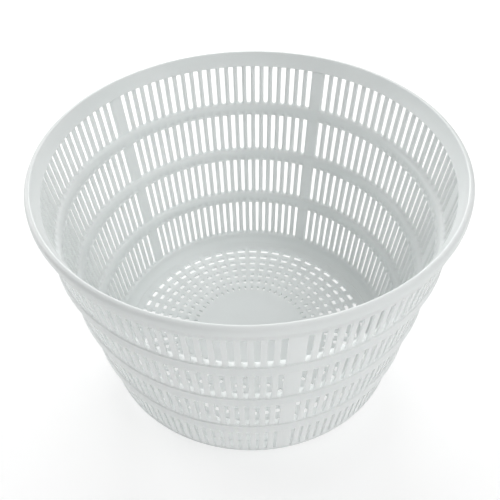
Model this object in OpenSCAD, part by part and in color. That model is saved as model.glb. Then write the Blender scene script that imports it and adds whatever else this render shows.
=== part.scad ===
// Inner basket of a manual salad spinner: one white moulding with four rows of
// slots between stepped rings, a pierced floor and a foot, carried on a small bush
// that turns in a hub under the floor. The moulding is drawn as one node for each
// feature, and the nodes meet face to face. Z is up and z = 0 is the table.

/* [Basket] */
// Outer radius of the rim
rim_r = 150; // [140:1:160]
// Height from the table to the top of the rim
height = 195; // [193:0.5:197]
// Distance from the top of the rim to the bottom of its bead
bead_h = 7; // [6:0.5:8]
// Distance from the top of the rim to the top of the first row of slots
collar_h = 11; // [10:0.5:12]

/* [Slotted wall] */
// Distance from one row of slots to the next
tier_pitch = 43; // [42.5:0.1:43.5]
// Loss of radius from one tier to the next
tier_step = 8.5; // [8:0.1:9]
// Height of a slot
slot_h = 34.5; // [30:0.5:36]
// Width of the bar between two slots
bar_w = 3.1; // [2.5:0.1:3.5]
// Thickness of the bar between two slots, along the radius
bar_t = 2.4; // [2:0.1:2.8]
// Width of the ring between two rows, along the radius
band_w = 7.3; // [6.6:0.1:8]
// Distance from the outside of a ring to the bars that hang from it
bar_inset_top = 2.9; // [2:0.1:3.4]
// Distance from the outside of a ring to the bars that stand on it
bar_inset_bottom = 0.6; // [0.4:0.1:1]
// How far the inside of a ring leans in between the ledge under one row and the next row
ring_lean = 2.2; // [1:0.1:3]
// Slot places round the wall in each sector
sector_places = 24; // [20:1:26]

/* [Floor] */
// Thickness of the floor
floor_t = 2.5; // [2:0.1:3]
// Depth of the foot ring under the floor
foot_h = 9.5; // [9:0.1:10]
// Outer radius of the foot ring
foot_r = 43.5; // [40:0.5:44]
// Radius of the flat part of the floor
floor_r = 100.5; // [100:0.5:102]
// Radius of the outermost ring of floor holes
hole_ring_r = 94.6; // [94:0.1:95]
// Distance between two rings of floor holes
hole_ring_step = 7.8; // [7.5:0.1:8]
// Number of rings of floor holes
hole_rings = 7; // [3:1:7]
// Floor holes in each sector of a ring
sector_holes = 11; // [8:1:12]
// Size of a floor hole along the radius
hole_len = 3.6; // [3:0.1:4.5]
// Width of the spoke between two floor holes
spoke_w = 3.9; // [3.5:0.1:4.2]

/* [Hub] */
// Radius of the spindle bore in the bush
spindle_r = 4; // [3:0.1:4.5]
// Depth of the spindle bore
spindle_depth = 7; // [5:0.1:7]
// Outer radius of the bush
bush_r = 6.95; // [6.8:0.05:7.2]
// Running clearance between the bush and the hub, measured on the radius
running_gap = 0.05; // [0.02:0.01:0.1]
// Outer radius of the hub
hub_r = 12; // [11:0.5:14]

/* [Hidden] */
$fn = 120;

plastic = "whitesmoke";
insert_plastic = "lightgray";

sectors = 5;
tiers = 4;
places = sectors * sector_places;
place_angle = 360 / places;
arc_steps = 8;

// Radii of the wall at the top of the first row of slots, and the draft of a band
rim_in_r = rim_r - 4.1;
out_top_r = rim_r - 1.6;
in_top_r = out_top_r - band_w;
band_draft = 0.4;

// The rings begin a little above and a little below each row of slots
bend = 0.6;

// Levels of the floor and of the rounded corner under the last row of slots
floor_top = foot_h + floor_t;
outer_corner = 13.5;
inner_corner = 10.5;
corner_top = 17;
foot_t = 2.6;

// Turn from one floor hole to the next; the solid ribs stand midway between two holes
hole_angle = 360 / (sectors * sector_holes);

// Hub, retaining ring and bush, measured from the mouth of the hub
hub_z = 2;
ring_t = 1.5;
ring_out_r = 9;
ring_in_r = 5.9;
nose_r = ring_in_r - 0.2;
nose_z = 0.8;
end_gap = 0.2;

cut = 4;

// Points on an arc about a centre, from angle a to angle b
function arc(centre, r, a, b) =
    [for (i = [0:arc_steps]) centre + r * [cos(a + (b - a) * i / arc_steps), sin(a + (b - a) * i / arc_steps)]];

// Height of the top and the bottom of a row of slots, counted from 0 at the top
function row_top(tier) = height - collar_h - tier * tier_pitch;
function row_bottom(tier) = row_top(tier) - slot_h;

// Outer radius of the rings at those two heights, and inner radius of the ring above a row
function out_top(tier) = out_top_r - tier * tier_step;
function out_bottom(tier) = out_top(tier + 1) + band_draft;
function in_top(tier) = in_top_r - tier * tier_step;

// Outer radius of the bars at those two heights
function bar_top(tier) = out_top(tier) - bar_inset_top;
function bar_bottom(tier) = out_bottom(tier) - bar_inset_bottom;

// Inner edge of the ledge under a row; the last ledge runs into the rounded corner
function ledge(tier) = tier < tiers - 1 ? in_top(tier + 1) + ring_lean : corner_seam[0] + band_draft;

// Middle of the ring under a row, where two tiers meet: [inner radius, outer radius, height]
function seam(tier) = [(ledge(tier) + in_top(tier + 1)) / 2,
                       (out_bottom(tier) + out_top(tier + 1)) / 2,
                       (row_bottom(tier) + row_top(tier + 1)) / 2];

// Underside of the rim bead, where the first tier begins
collar_seam = [rim_in_r - (rim_in_r - in_top_r) * bead_h / collar_h, out_top_r + 0.1, height - bead_h];

// Rounded corner between the wall and the floor
function corner_radius(size, flat_z, z) = floor_r + sqrt(size * size - pow(flat_z + size - z, 2));
corner_seam = [corner_radius(inner_corner, floor_top, corner_top),
               corner_radius(outer_corner, foot_h, corner_top),
               corner_top];

// Wall of one tier between an upper and a lower seam, before the slots are cut
module tier_ring(tier, upper, lower) {
    under = row_top(tier) + bend;
    above = row_bottom(tier) - bend;
    rotate_extrude()
        polygon([
            [upper[0], upper[2]],
            [in_top(tier), under],
            [bar_top(tier) - bar_t, under],
            [bar_bottom(tier) - bar_t, above],
            [ledge(tier), above],
            [lower[0], lower[2]],
            [lower[1], lower[2]],
            [out_bottom(tier), above],
            [bar_bottom(tier), above],
            [bar_top(tier), under],
            [out_top(tier), under],
            [upper[1], upper[2]]
        ]);
}

// Half the width of a slot where the middle of the bars is at radius r
function slot_half(r) = (r * PI * place_angle / 180 - bar_w) / 2;

// One slot, a little wider at the top so that the bars keep their width
module slot(tier) {
    half_top = slot_half(bar_top(tier) - bar_t / 2);
    half_bottom = slot_half(bar_bottom(tier) - bar_t / 2);
    translate([bar_bottom(tier) - bar_t - cut, 0, 0])
        rotate([90, 0, 90])
            linear_extrude(out_top(tier) - bar_bottom(tier) + bar_t + 2 * cut)
                polygon([
                    [-half_bottom, row_bottom(tier)],
                    [half_bottom, row_bottom(tier)],
                    [half_top, row_top(tier)],
                    [-half_top, row_top(tier)]
                ]);
}

// One tier of the wall; the first place of each sector stays solid as a rib
module wall_tier(tier, upper, lower) {
    color(plastic)
        difference() {
            tier_ring(tier, upper, lower);
            for (sector = [0:sectors - 1], place = [1:sector_places - 1])
                rotate([0, 0, 90 + sector * 360 / sectors + place * place_angle])
                    slot(tier);
        }
}

// Rounded bead at the mouth
module rim() {
    color(plastic)
        rotate_extrude()
            polygon(concat(
                [[collar_seam[0], collar_seam[2]]],
                arc([rim_in_r + 1.1, height - 1.1], 1.1, 180, 90),
                arc([rim_r - 3, height - 3], 3, 90, 0),
                arc([rim_r - 1.3, height - bead_h + 1.3], 1.3, 0, -90),
                [[collar_seam[1], collar_seam[2]]]
            ));
}

// Curved corner that joins the last tier to the floor
module base_corner() {
    outer_end = asin((corner_top - foot_h - outer_corner) / outer_corner);
    inner_end = asin((corner_top - floor_top - inner_corner) / inner_corner);
    color(plastic)
        rotate_extrude()
            polygon(concat(
                arc([floor_r, foot_h + outer_corner], outer_corner, -90, outer_end),
                arc([floor_r, floor_top + inner_corner], inner_corner, inner_end, -90)
            ));
}

// Flat floor with rings of oblong holes and a plain middle
module base_floor() {
    color(plastic)
        translate([0, 0, foot_h])
            linear_extrude(floor_t)
                difference() {
                    circle(floor_r);
                    for (ring = [0:hole_rings - 1], place = [0:sectors * sector_holes - 1])
                        rotate(90 + (place + 0.5) * hole_angle)
                            translate([hole_ring_r - ring * hole_ring_step, 0])
                                floor_hole(hole_ring_r - ring * hole_ring_step);
                }
}

// One hole of a ring; the spokes between holes keep their width
module floor_hole(r) {
    hole_w = r * PI * hole_angle / 180 - spoke_w;
    square([hole_len, hole_w], center = true);
}

// Ring that the basket stands on
module foot_ring() {
    color(plastic)
        difference() {
            cylinder(h = foot_h, r = foot_r);
            translate([0, 0, -cut])
                cylinder(h = foot_h + 2 * cut, r = foot_r - foot_t);
        }
}

// Boss under the middle of the floor, with a counterbore for the retaining ring
module hub() {
    color(plastic)
        difference() {
            translate([0, 0, hub_z])
                cylinder(h = foot_h - hub_z, r = hub_r);
            cylinder(h = foot_h + cut, r = bush_r + running_gap);
            cylinder(h = hub_z + ring_t, r = ring_out_r);
        }
}

// Flat ring pressed into the hub, which keeps the bush in
module retaining_ring() {
    color(insert_plastic)
        translate([0, 0, hub_z])
            difference() {
                cylinder(h = ring_t, r = ring_out_r);
                translate([0, 0, -cut])
                    cylinder(h = ring_t + 2 * cut, r = ring_in_r);
            }
}

// Bush that turns in the hub and sits on the bowl's spindle
module pivot_bush() {
    body_z = hub_z + ring_t + end_gap;
    color(insert_plastic)
        difference() {
            union() {
                translate([0, 0, body_z])
                    cylinder(h = foot_h - end_gap - body_z, r = bush_r);
                translate([0, 0, nose_z])
                    cylinder(h = body_z - nose_z, r = nose_r);
            }
            translate([0, 0, nose_z - cut])
                cylinder(h = spindle_depth + cut, r = spindle_r);
        }
}

rim();
wall_tier(0, collar_seam, seam(0));  // wall_tier_1
wall_tier(1, seam(0), seam(1));  // wall_tier_2
wall_tier(2, seam(1), seam(2));  // wall_tier_3
wall_tier(3, seam(2), corner_seam);  // wall_tier_4
base_corner();
base_floor();
foot_ring();
hub();
retaining_ring();
pivot_bush();
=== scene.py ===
"""Looks of the salad spinner basket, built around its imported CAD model."""

import math

import bmesh
import bpy
from mathutils import Matrix, Vector


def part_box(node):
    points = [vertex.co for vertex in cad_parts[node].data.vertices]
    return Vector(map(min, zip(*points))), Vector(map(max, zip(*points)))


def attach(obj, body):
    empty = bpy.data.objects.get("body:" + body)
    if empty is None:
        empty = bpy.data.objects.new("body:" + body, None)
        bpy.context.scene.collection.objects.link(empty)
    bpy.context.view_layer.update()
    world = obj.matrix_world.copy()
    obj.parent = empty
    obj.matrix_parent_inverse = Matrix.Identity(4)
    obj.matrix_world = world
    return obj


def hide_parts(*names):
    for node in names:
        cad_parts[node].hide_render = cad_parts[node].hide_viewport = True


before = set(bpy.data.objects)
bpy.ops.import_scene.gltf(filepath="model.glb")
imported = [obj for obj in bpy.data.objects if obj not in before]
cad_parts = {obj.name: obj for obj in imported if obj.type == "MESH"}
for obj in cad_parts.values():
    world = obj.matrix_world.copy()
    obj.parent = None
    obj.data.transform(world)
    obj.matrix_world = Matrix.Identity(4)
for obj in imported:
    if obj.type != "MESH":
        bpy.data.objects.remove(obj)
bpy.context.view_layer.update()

MM = 0.001

# ---- Sizes taken from the CAD nodes, in millimetres ----


def span(node):
    """Outer radius, lowest and highest level of a CAD node."""
    low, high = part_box(node)
    return high.x / MM, low.z / MM, high.z / MM


rim_r, bead_bottom, height = span("rim")
tier_pitch = span("wall_tier_2")[2] - span("wall_tier_2")[1]
floor_r, foot_h, floor_top = span("base_floor")
corner_top = span("base_corner")[2]
foot_r = span("foot_ring")[0]
hub_r, hub_bottom, _ = span("hub")
ring_r, ring_bottom, ring_top = span("retaining_ring")
bush_r, bush_bottom, bush_top = span("pivot_bush")

# ---- Sizes that the CAD boxes don't give, in millimetres ----

collar_h = 11.0
tier_step = 8.5
slot_h = 34.5
bar_w = 3.1
bar_t = 2.4
band_w = 7.3
bar_inset_top = 2.9
bar_inset_bottom = 0.6
ring_lean = 2.2
band_draft = 0.4
bend = 0.6
outer_corner = 13.5
inner_corner = 10.5
foot_t = 2.6
rim_t = 4.1
rim_overhang = 1.6
rim_inner_round = 1.1
rim_outer_round = 3.0
rim_lower_round = 1.3
collar_flare = 0.1
bore_r = 7.0
spindle_r = 4.0
spindle_top = 7.8
nose_r = 5.7
ring_in_r = 5.9
end_gap = 0.2

sectors = 5
tiers = 4
sector_places = 24
places = sectors * sector_places
place_angle = math.radians(360 / places)

hole_rings = 7
sector_holes = 11
hole_angle = math.radians(360 / (sectors * sector_holes))
hole_ring_r = 94.6
hole_ring_step = 7.8
hole_len = 3.6
spoke_w = 3.9

# Moulded details of the bars: rounding on the inner face, sharper and wider outside
bar_round = 0.9
bar_drop = 0.65
outer_flare = 0.3
outer_round = 0.25
outer_drop = 0.1

# Lips of the rings, which hang a little over the slots, and the flutes above them
lip_round = 0.4
lip_hang = 0.5
ring_swell = 0.1
brim_round = 0.3
flute_low = 0.9
flute_h = 2.2
flute_depth = 1.0
flute_shallow = 0.25

# Corners of the slots and the floor holes, and the edges of the floor holes
slot_corner_top = 0.7
slot_corner_bottom = 1.2
hole_corner = 0.6
corner_pull = 1 - math.sqrt(0.5)
edge_w = 0.45
edge_drop = 0.2

# Ridge round the floor, where the rounded corner begins: (distance from the floor, rise)
cove_end = -72
ridge = ((2.6, 0.05), (2.0, 0.45), (1.3, 0.0))

rim_columns = 240
hub_columns = 96
arc_steps = 8
first_angle = math.radians(90)
smooth_angle = math.radians(50)

# ---- Camera, lights and stage ----

view_azimuth = math.radians(28.25)
view_elevation = math.radians(38.96)
view_roll = math.radians(3.14)
view_distance = 3.259
view_right = -0.1241
view_up = -0.1096
lens_mm = 51.6
view_shift = (0.060, -0.136)

# Softboxes round the basket, in watts: strong ones behind it and weak fills in front
rear_power = 9.0
fill_power = 2.0
light_distance = 1.2
light_size = 0.8
world_strength = 0.1
stage_side = 12.0
stage_albedo = 0.6
stage_glow = 0.48


def add_camera():
    """Camera at the photograph's viewing angle, placed from the rim."""
    right = Vector((math.cos(view_azimuth), math.sin(view_azimuth), 0))
    back = Vector(
        (
            math.sin(view_azimuth) * math.cos(view_elevation),
            -math.cos(view_azimuth) * math.cos(view_elevation),
            math.sin(view_elevation),
        )
    )
    up = back.cross(right)
    target = Vector((0, 0, height)) + (right * view_right + up * view_up) * rim_r
    place = (target + back * view_distance * rim_r) * MM
    rolled_right = right * math.cos(view_roll) - up * math.sin(view_roll)
    rolled_up = right * math.sin(view_roll) + up * math.cos(view_roll)
    turn = Matrix((rolled_right, rolled_up, back)).transposed()
    camera = bpy.data.objects.new("camera", bpy.data.cameras.new("camera"))
    camera.matrix_world = Matrix.Translation(place) @ turn.to_4x4()
    camera.data.lens = lens_mm
    camera.data.sensor_width = 36
    camera.data.shift_x, camera.data.shift_y = view_shift
    camera.data.clip_start = 0.01
    bpy.context.scene.collection.objects.link(camera)
    bpy.context.scene.camera = camera


def add_area_light(name, azimuth, elevation, power):
    """Soft square light that looks at the middle of the basket."""
    target = Vector((0, 0, height / 2 * MM))
    a = view_azimuth + math.radians(azimuth)
    e = math.radians(elevation)
    back = Vector((math.sin(a) * math.cos(e), -math.cos(a) * math.cos(e), math.sin(e)))
    data = bpy.data.lights.new(name, "AREA")
    data.energy = power
    data.size = light_size
    light = bpy.data.objects.new(name, data)
    light.location = target + back * light_distance
    light.rotation_euler = back.to_track_quat("Z", "Y").to_euler()
    bpy.context.scene.collection.objects.link(light)


def add_lights():
    """Softboxes behind the basket, and four fills on the camera's side and to its right."""
    add_area_light("rear", 180, 25, rear_power)
    add_area_light("rear_left", -120, 25, rear_power * 2 / 3)
    add_area_light("rear_right", 120, 60, rear_power / 3)
    for azimuth in (0, 60):
        for elevation in (25, 60):
            add_area_light(f"fill_{azimuth}_{elevation}", azimuth, elevation, fill_power)


def add_world():
    """Weak, even white surroundings."""
    world = bpy.data.worlds.new("surroundings")
    world.use_nodes = True
    background = world.node_tree.nodes["Background"]
    background.inputs["Color"].default_value = (1, 1, 1, 1)
    background.inputs["Strength"].default_value = world_strength
    bpy.context.scene.world = world


def add_floor():
    """Plain white floor under the basket."""
    mesh = bpy.data.meshes.new("studio_floor")
    half = stage_side / 2
    corners = [(-half, -half, 0), (half, -half, 0), (half, half, 0), (-half, half, 0)]
    mesh.from_pydata(corners, [], [(0, 1, 2, 3)])
    floor = bpy.data.objects.new("studio_floor", mesh)
    material = bpy.data.materials.new("studio_white")
    material.use_nodes = True
    shader = material.node_tree.nodes["Principled BSDF"]
    shader.inputs["Base Color"].default_value = (stage_albedo, stage_albedo, stage_albedo, 1)
    shader.inputs["Roughness"].default_value = 0.9
    shader.inputs["Emission Color"].default_value = (1, 1, 1, 1)
    shader.inputs["Emission Strength"].default_value = stage_glow
    mesh.materials.append(material)
    bpy.context.scene.collection.objects.link(floor)


# ---- Mesh building ----


class Skin:
    """Points and faces of one piece, built ring by ring round the spin axis."""

    def __init__(self):
        self.points = []
        self.faces = []

    def add(self, x, y, z):
        """Adds one point and returns its number."""
        self.points.append((x * MM, y * MM, z * MM))
        return len(self.points) - 1

    def circle(self, r, z, columns):
        """Adds a plain ring of points."""
        ring = []
        for i in range(columns):
            a = first_angle + 2 * math.pi * i / columns
            ring.append(self.add(r * math.cos(a), r * math.sin(a), z))
        return ring

    def join(self, upper, lower, holes=()):
        """Joins two rings with the same number of points, leaving out the columns in holes."""
        count = len(upper)
        for i in range(count):
            if i not in holes:
                j = (i + 1) % count
                self.faces.append((upper[i], upper[j], lower[j], lower[i]))

    def angle(self, point, start):
        """Angle of a point round the axis, counted from start."""
        x, y, _ = self.points[point]
        return (math.atan2(y, x) - start) % (2 * math.pi)

    def bridge(self, first, second):
        """Joins two rings that have different numbers of points."""
        slack = 0.01
        start = first_angle - slack
        rings = [sorted(ring, key=lambda p: self.angle(p, start)) for ring in (first, second)]
        turns = [[self.angle(p, start) for p in ring] + [2 * math.pi + slack] for ring in rings]
        at = [0, 0]
        while at[0] < len(rings[0]) or at[1] < len(rings[1]):
            ahead_turns = [turns[i][min(at[i] + 1, len(rings[i]))] for i in (0, 1)]
            side = 0 if ahead_turns[0] <= ahead_turns[1] else 1
            if at[side] >= len(rings[side]):
                side = 1 - side
            other = 1 - side
            here = rings[side][at[side]]
            ahead = rings[side][(at[side] + 1) % len(rings[side])]
            across = rings[other][at[other] % len(rings[other])]
            self.faces.append((here, ahead, across))
            at[side] += 1

    def cap(self, ring, z):
        """Closes a ring with a fan round a point on the axis."""
        middle = self.add(0, 0, z)
        count = len(ring)
        for i in range(count):
            self.faces.append((ring[i], ring[(i + 1) % count], middle))

    def lathe(self, profile, columns):
        """Joins the rings of a profile and returns the first and the last ring."""
        rings = [self.circle(r, z, columns) for r, z in profile]
        for upper, lower in zip(rings, rings[1:]):
            self.join(upper, lower)
        return rings[0], rings[-1]

    def make(self, name):
        """Turns the points and faces into a smooth object with outward normals."""
        mesh = bpy.data.meshes.new(name)
        mesh.from_pydata(self.points, [], self.faces)
        shape = bmesh.new()
        shape.from_mesh(mesh)
        bmesh.ops.recalc_face_normals(shape, faces=shape.faces)
        shape.to_mesh(mesh)
        shape.free()
        mesh.shade_smooth()
        mesh.set_sharp_from_angle(angle=smooth_angle)
        thing = bpy.data.objects.new(name, mesh)
        bpy.context.scene.collection.objects.link(thing)
        return thing


def arc(x, z, r, start, end):
    """Points of an arc in a profile; the angles are in degrees."""
    points = []
    for i in range(arc_steps + 1):
        a = math.radians(start + (end - start) * i / arc_steps)
        points.append((x + r * math.cos(a), z + r * math.sin(a)))
    return points


# ---- Profile of the wall ----


def row_top(tier):
    """Level of the top of a row of slots."""
    return height - collar_h - tier * tier_pitch


def row_bottom(tier):
    """Level of the bottom of a row of slots."""
    return row_top(tier) - slot_h


def outer_top(tier):
    """Outer radius of the ring above a row."""
    return rim_r - rim_overhang - tier * tier_step


def outer_bottom(tier):
    """Outer radius of the ring below a row."""
    return outer_top(tier + 1) + band_draft


def inner_top(tier):
    """Inner radius of the ring above a row."""
    return outer_top(tier) - band_w


def bar_outer(tier, z):
    """Outer radius of the bars of a row at a level."""
    low = outer_bottom(tier) - bar_inset_bottom
    high = outer_top(tier) - bar_inset_top
    return low + (high - low) * (z - row_bottom(tier)) / slot_h


def corner_radius(size, flat_z, z):
    """Radius of a rounded corner at a level."""
    return floor_r + math.sqrt(size**2 - (flat_z + size - z) ** 2)


rim_in_r = rim_r - rim_t
collar_in_r = rim_in_r - (rim_in_r - inner_top(0)) * (height - bead_bottom) / collar_h
collar_out_r = outer_top(0) + collar_flare


def ledge(tier):
    """Inner radius of the ring at the ledge under a row."""
    if tier + 1 < tiers:
        return inner_top(tier + 1) + ring_lean
    return corner_radius(inner_corner, floor_top, corner_top) + band_draft


def slot_half(tier, z):
    """Half the width of a slot at a level; the bars keep their width."""
    return ((bar_outer(tier, z) - bar_t / 2) * place_angle - bar_w) / 2


# ---- Rings of the wall ----

slot_columns = 6
slot_gap = (1, 2, 3)
slot_rings = 4
hole_rows = slot_rings + 2
least_half = 0.1


def wall_ring(skin, r, z, inward, tier, part, notch=0):
    """One ring of points round a face of the wall, six for each place.

    part is band, slot_top, slot_side or slot_bottom. inward is 1 on the inner face and -1 on the
    outer one. notch sinks the ring above the slots.
    """
    ring = []
    half = slot_half(tier, min(z, row_top(tier)))
    soft = bar_round
    drop = bar_drop
    if inward < 0:
        half -= outer_flare
        soft = outer_round
        drop = outer_drop
    corner = {"slot_top": slot_corner_top, "slot_bottom": slot_corner_bottom}.get(part, 0)
    rise = corner * corner_pull * (1 if part == "slot_bottom" else -1)
    for place in range(places):
        a = first_angle + place * place_angle
        open_place = place % sector_places != 0
        for column in range(slot_columns):
            side = -1 if column < 3 else 1
            step = column if column < 3 else 5 - column
            across = (half + soft, half, half - slot_corner_bottom)[step]
            depth = 0
            level = z
            if open_place and step > 0:
                depth = drop if part.startswith("slot") else notch
                if step == 1 and corner:
                    across -= corner * corner_pull
                    level += rise
            along = math.sqrt((r + inward * depth) ** 2 - across * across)
            x = along * math.cos(a) - side * across * math.sin(a)
            y = along * math.sin(a) + side * across * math.cos(a)
            ring.append(skin.add(x, y, level))
    return ring


def wall_levels():
    """Rings of the wall from the top down: (level, inner radius, outer radius, tier, part, notch)."""
    levels = []
    for tier in range(tiers):
        top = row_top(tier)
        bottom = row_bottom(tier)
        lip_in = inner_top(tier)
        lip_out = outer_top(tier)
        if tier > 0:
            ring_h = tier_pitch - slot_h
            lean = ring_lean / ring_h
            above = (ring_h + flute_h) / 2
            levels += [
                (top + above, lip_in + lean * above, lip_out + 2 * ring_swell, tier, "band", 0),
                (top + flute_h, lip_in + lean * flute_h, lip_out + ring_swell, tier, "band", flute_shallow),
                (top + flute_low, lip_in + lean * flute_low, lip_out, tier, "band", flute_depth),
            ]
        levels += [
            (top - lip_hang + lip_round, lip_in, lip_out, tier, "band", 0),
            (top - lip_hang, lip_in + lip_round, lip_out - lip_round, tier, "band", 0),
        ]
        for z, part in (
            (top, "slot_top"),
            (top - slot_corner_top, "slot_side"),
            (bottom + slot_corner_bottom, "slot_side"),
            (bottom, "slot_bottom"),
        ):
            out = bar_outer(tier, z)
            levels.append((z, out - bar_t, out, tier, part, 0))
        brim = bottom - bend
        ledge_middle = (bar_outer(tier, brim) - bar_t + ledge(tier)) / 2
        levels += [
            (brim, ledge_middle, outer_bottom(tier) - lip_round, tier, "band", 0),
            (brim - brim_round, ledge(tier) + brim_round, outer_bottom(tier), tier, "band", 0),
        ]
    return levels


def slot_holes():
    """Columns of a wall ring that the slots leave out."""
    holes = set()
    for place in range(places):
        if place % sector_places != 0:
            holes.update(place * slot_columns + gap for gap in slot_gap)
    return holes


def line_hole(skin, inner_rings, outer_rings, first, last):
    """Joins the edges of one hole on the two faces. first and last are its outermost columns."""
    def edge(rings):
        top = [rings[0][c] for c in range(first, last + 1)]
        right = [ring[last] for ring in rings[1:]]
        bottom = [rings[-1][c] for c in range(last - 1, first - 1, -1)]
        left = [ring[first] for ring in rings[-2:0:-1]]
        return top + right + bottom + left

    skin.join(edge(inner_rings), edge(outer_rings))


def build_wall(skin):
    """Slotted wall. Returns its first and last rings, inner and outer."""
    levels = wall_levels()
    inner = [wall_ring(skin, r, z, 1, tier, part, notch) for z, r, _, tier, part, notch in levels]
    outer = [wall_ring(skin, r, z, -1, tier, part) for z, _, r, tier, part, _ in levels]
    parts = [level[4] for level in levels]
    holes = slot_holes()
    for i in range(len(levels) - 1):
        in_row = parts[i].startswith("slot") and parts[i + 1].startswith("slot")
        for rings in (inner, outer):
            skin.join(rings[i], rings[i + 1], holes if in_row else ())
    for start in range(len(levels)):
        if parts[start] != "slot_top":
            continue
        rows = range(start, start + slot_rings)
        for place in range(places):
            if place % sector_places != 0:
                first = place * slot_columns + slot_gap[0]
                last = place * slot_columns + slot_gap[-1] + 1
                line_hole(skin, [inner[i] for i in rows], [outer[i] for i in rows], first, last)
    return inner[0], outer[0], inner[-1], outer[-1]


# ---- Rings of the floor ----


def floor_ring(skin, r, z, part):
    """One ring of the pierced floor. part is web, hole_end_far, hole_side or hole_end_near."""
    ring = []
    hole_half = (hole_center(r) * hole_angle - spoke_w) / 2
    for place in range(sectors * sector_holes):
        a = first_angle + (place + 0.5) * hole_angle
        for column in range(slot_columns):
            side = -1 if column < 3 else 1
            step = column if column < 3 else 5 - column
            hole_middle = max(hole_half - hole_corner, least_half)
            offset = (hole_half + edge_w, hole_half, hole_middle)[step]
            along = r
            level = z
            if step > 0 and part != "web":
                level += edge_drop * (-1 if z == floor_top else 1)
            if step == 1 and part.startswith("hole_end"):
                offset -= hole_corner * corner_pull
                along += hole_corner * corner_pull * (1 if part == "hole_end_near" else -1)
            across = side * offset
            x = along * math.cos(a) - across * math.sin(a)
            y = along * math.sin(a) + across * math.cos(a)
            ring.append(skin.add(x, y, level))
    return ring


def hole_center(r):
    """Radius of the ring of holes nearest to a radius."""
    ring = round((hole_ring_r - r) / hole_ring_step)
    return hole_ring_r - min(max(ring, 0), hole_rings - 1) * hole_ring_step


def floor_levels():
    """Radii of the floor's rings from the outside in: (radius, part)."""
    levels = []
    for ring in range(hole_rings):
        far = hole_ring_r - ring * hole_ring_step + hole_len / 2
        near = far - hole_len
        levels += [
            (far + edge_w, "web"),
            (far, "hole_end_far"),
            (far - hole_corner, "hole_side"),
            (near + hole_corner, "hole_side"),
            (near, "hole_end_near"),
            (near - edge_w, "web"),
        ]
    return levels


def build_floor(skin):
    """Pierced part of the floor. Returns its outermost and innermost rings, top and bottom."""
    levels = floor_levels()
    top = [floor_ring(skin, r, floor_top, part) for r, part in levels]
    under = [floor_ring(skin, r, foot_h, part) for r, part in levels]
    holes = {
        place * slot_columns + gap for place in range(sectors * sector_holes) for gap in slot_gap
    }
    for i in range(len(levels) - 1):
        in_hole = levels[i][1] != "web" and levels[i + 1][1] != "web"
        for rings in (top, under):
            skin.join(rings[i], rings[i + 1], holes if in_hole else ())
    for ring in range(hole_rings):
        start = ring * hole_rows + 1
        rows = range(start, start + slot_rings)
        for place in range(sectors * sector_holes):
            first = place * slot_columns + slot_gap[0]
            last = place * slot_columns + slot_gap[-1] + 1
            line_hole(skin, [top[i] for i in rows], [under[i] for i in rows], first, last)
    return top[0], under[0], top[-1], under[-1]


# ---- The moulding ----


chamfer = 0.5
hub_fillet = 1.2
fillet_middle = 0.3 * hub_fillet
collar_tuck = 0.3
plain_radii = (foot_r + chamfer, 30, 12)


def add_rim(skin, wall_in, wall_out):
    """Rounded bead at the mouth, from the inner face of the wall over to the outer one."""
    bead = (
        [(collar_in_r, bead_bottom)]
        + arc(rim_in_r + rim_inner_round, height - rim_inner_round, rim_inner_round, 180, 90)
        + arc(rim_r - rim_outer_round, height - rim_outer_round, rim_outer_round, 90, 0)
        + arc(rim_r - rim_lower_round, bead_bottom + rim_lower_round, rim_lower_round, 0, -90)
        + [(collar_out_r, bead_bottom - collar_tuck)]
    )
    first, last = skin.lathe(bead, rim_columns)
    skin.bridge(first, wall_in)
    skin.bridge(last, wall_out)


def add_corner(skin, size, flat_z, end, extra, wall, floor):
    """One face of the rounded corner between the wall and the floor; extra points follow its arc."""
    start = math.degrees(math.asin((corner_top - flat_z - size) / size))
    profile = arc(floor_r, flat_z + size, size, start, end) + extra
    first, last = skin.lathe(profile, rim_columns)
    skin.bridge(first, wall)
    skin.bridge(last, floor)


def add_plain_middle(skin, middle):
    """Top of the floor inside the innermost holes."""
    first, last = skin.lathe([(r, floor_top) for r in plain_radii], hub_columns)
    skin.bridge(first, middle)
    skin.cap(last, floor_top)


def add_underside(skin, middle):
    """Foot ring, hub and bore under the plain middle."""
    foot_in_r = foot_r - foot_t
    profile = [
        (foot_r + chamfer, foot_h),
        (foot_r, foot_h - chamfer),
        (foot_r, chamfer),
        (foot_r - chamfer, 0),
        (foot_in_r + chamfer, 0),
        (foot_in_r, chamfer),
        (foot_in_r, foot_h - chamfer),
        (foot_in_r - chamfer, foot_h),
        (hub_r + hub_fillet, foot_h),
        (hub_r + fillet_middle, foot_h - fillet_middle),
        (hub_r, foot_h - hub_fillet),
        (hub_r, hub_bottom + chamfer),
        (hub_r - chamfer, hub_bottom),
        (ring_r, hub_bottom),
        (ring_r, ring_top),
        (bore_r, ring_top),
        (bore_r, foot_h),
    ]
    first, last = skin.lathe(profile, hub_columns)
    skin.bridge(first, middle)
    skin.cap(last, foot_h)


def build_moulding():
    """The basket's one-piece moulding: rim, tiers, corner, floor, foot ring and hub."""
    skin = Skin()
    wall_in, wall_out, wall_in_end, wall_out_end = build_wall(skin)
    floor_in, floor_under, middle_in, middle_under = build_floor(skin)
    add_rim(skin, wall_in, wall_out)
    ridge_points = [(floor_r + out, floor_top + rise) for out, rise in ridge]
    add_corner(skin, inner_corner, floor_top, cove_end, ridge_points, wall_in_end, floor_in)
    add_corner(skin, outer_corner, foot_h, -90, [], wall_out_end, floor_under)
    add_plain_middle(skin, middle_in)
    add_underside(skin, middle_under)

    moulding = skin.make("basket_moulding")
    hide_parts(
        "rim",
        *[f"wall_tier_{tier + 1}" for tier in range(tiers)],
        "base_corner",
        "base_floor",
        "foot_ring",
        "hub",
    )
    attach(moulding, "basket")
    return moulding


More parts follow.
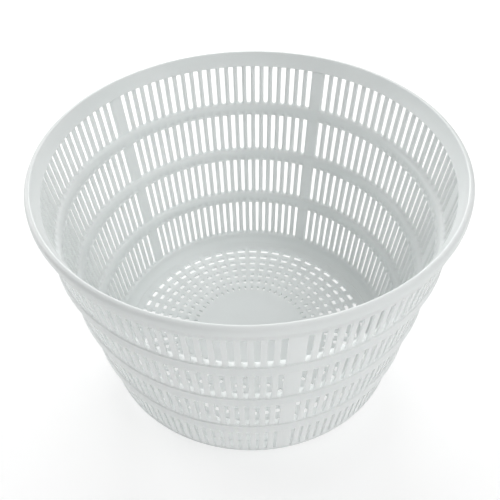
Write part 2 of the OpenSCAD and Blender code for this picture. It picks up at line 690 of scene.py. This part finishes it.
def build_retaining_ring():
    """Flat ring with its lower edges chamfered, which keeps the bush in."""
    edge = 0.25
    skin = Skin()
    profile = [
        (ring_in_r + edge, ring_bottom),
        (ring_r - edge, ring_bottom),
        (ring_r, ring_bottom + edge),
        (ring_r, ring_top),
        (ring_in_r, ring_top),
        (ring_in_r, ring_bottom + edge),
    ]
    first, last = skin.lathe(profile, hub_columns)
    skin.join(last, first)
    ring = skin.make("retaining_ring_turned")
    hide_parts("retaining_ring")
    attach(ring, "basket")
    return ring


def build_bush():
    """Bush with a nose and a blind bore for the spindle."""
    edge = 0.3
    shoulder = ring_top + end_gap
    skin = Skin()
    profile = [
        (bush_r - edge, bush_top),
        (bush_r, bush_top - edge),
        (bush_r, shoulder + edge),
        (bush_r - edge, shoulder),
        (nose_r, shoulder),
        (nose_r, bush_bottom + edge),
        (nose_r - edge, bush_bottom),
        (spindle_r + edge, bush_bottom),
        (spindle_r, bush_bottom + edge),
        (spindle_r, spindle_top),
    ]
    first, last = skin.lathe(profile, hub_columns)
    skin.cap(first, bush_top)
    skin.cap(last, spindle_top)
    bush = skin.make("pivot_bush_turned")
    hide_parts("pivot_bush")
    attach(bush, "bush")
    return bush


# ---- Materials ----


plastic_ior = 1.49
scatter_depth = 0.004
cloud_scale = 14
gloss_scale = 60
gloss_spread = (-0.04, 0.05)
grain_scale = 900
grain_height = 0.0002
middle_range = (0.3, 0.7)


def noise(nodes, links, coordinates, scale, detail):
    """A noise texture in object coordinates."""
    texture = nodes.new("ShaderNodeTexNoise")
    texture.inputs["Scale"].default_value = scale
    texture.inputs["Detail"].default_value = detail
    links.new(coordinates.outputs["Object"], texture.inputs["Vector"])
    return texture


def spread(nodes, links, source, low, high):
    """Maps a texture's middle range onto low..high."""
    node = nodes.new("ShaderNodeMapRange")
    node.inputs["From Min"].default_value = middle_range[0]
    node.inputs["From Max"].default_value = middle_range[1]
    node.inputs["To Min"].default_value = low
    node.inputs["To Max"].default_value = high
    links.new(source, node.inputs["Value"])
    return node.outputs["Result"]


def moulded_plastic(name, dark, light, roughness, subsurface, grain):
    """Injection-moulded plastic: faint flow clouds, uneven gloss and a fine grain."""
    material = bpy.data.materials.new(name)
    material.use_nodes = True
    nodes = material.node_tree.nodes
    links = material.node_tree.links
    shader = nodes["Principled BSDF"]
    shader.inputs["IOR"].default_value = plastic_ior
    shader.inputs["Subsurface Weight"].default_value = subsurface
    shader.inputs["Subsurface Radius"].default_value = (1.0, 1.0, 1.0)
    shader.inputs["Subsurface Scale"].default_value = scatter_depth
    coordinates = nodes.new("ShaderNodeTexCoord")

    clouds = noise(nodes, links, coordinates, cloud_scale, 2)
    mix = nodes.new("ShaderNodeMix")
    mix.data_type = "RGBA"
    mix.inputs["A"].default_value = (*dark, 1)
    mix.inputs["B"].default_value = (*light, 1)
    links.new(spread(nodes, links, clouds.outputs["Fac"], 0, 1), mix.inputs["Factor"])
    links.new(mix.outputs["Result"], shader.inputs["Base Color"])

    gloss = noise(nodes, links, coordinates, gloss_scale, 3)
    low, high = (roughness + change for change in gloss_spread)
    links.new(spread(nodes, links, gloss.outputs["Fac"], low, high), shader.inputs["Roughness"])

    fine = noise(nodes, links, coordinates, grain_scale, 2)
    bump = nodes.new("ShaderNodeBump")
    bump.inputs["Strength"].default_value = grain
    bump.inputs["Distance"].default_value = grain_height
    links.new(fine.outputs["Fac"], bump.inputs["Height"])
    links.new(bump.outputs["Normal"], shader.inputs["Normal"])
    return material


def main():
    """Builds the stage, the pieces and their materials."""
    bpy.context.scene.view_settings.view_transform = "Standard"
    add_camera()
    add_world()
    add_lights()
    add_floor()
    basket_plastic = moulded_plastic(
        "basket_plastic", (0.79, 0.82, 0.815), (0.83, 0.855, 0.85), 0.36, 0.3, 0.15
    )
    insert_plastic = moulded_plastic(
        "insert_plastic", (0.70, 0.71, 0.70), (0.76, 0.77, 0.76), 0.5, 0.1, 0.3
    )
    build_moulding().data.materials.append(basket_plastic)
    for piece in (build_retaining_ring(), build_bush()):
        piece.data.materials.append(insert_plastic)


main()
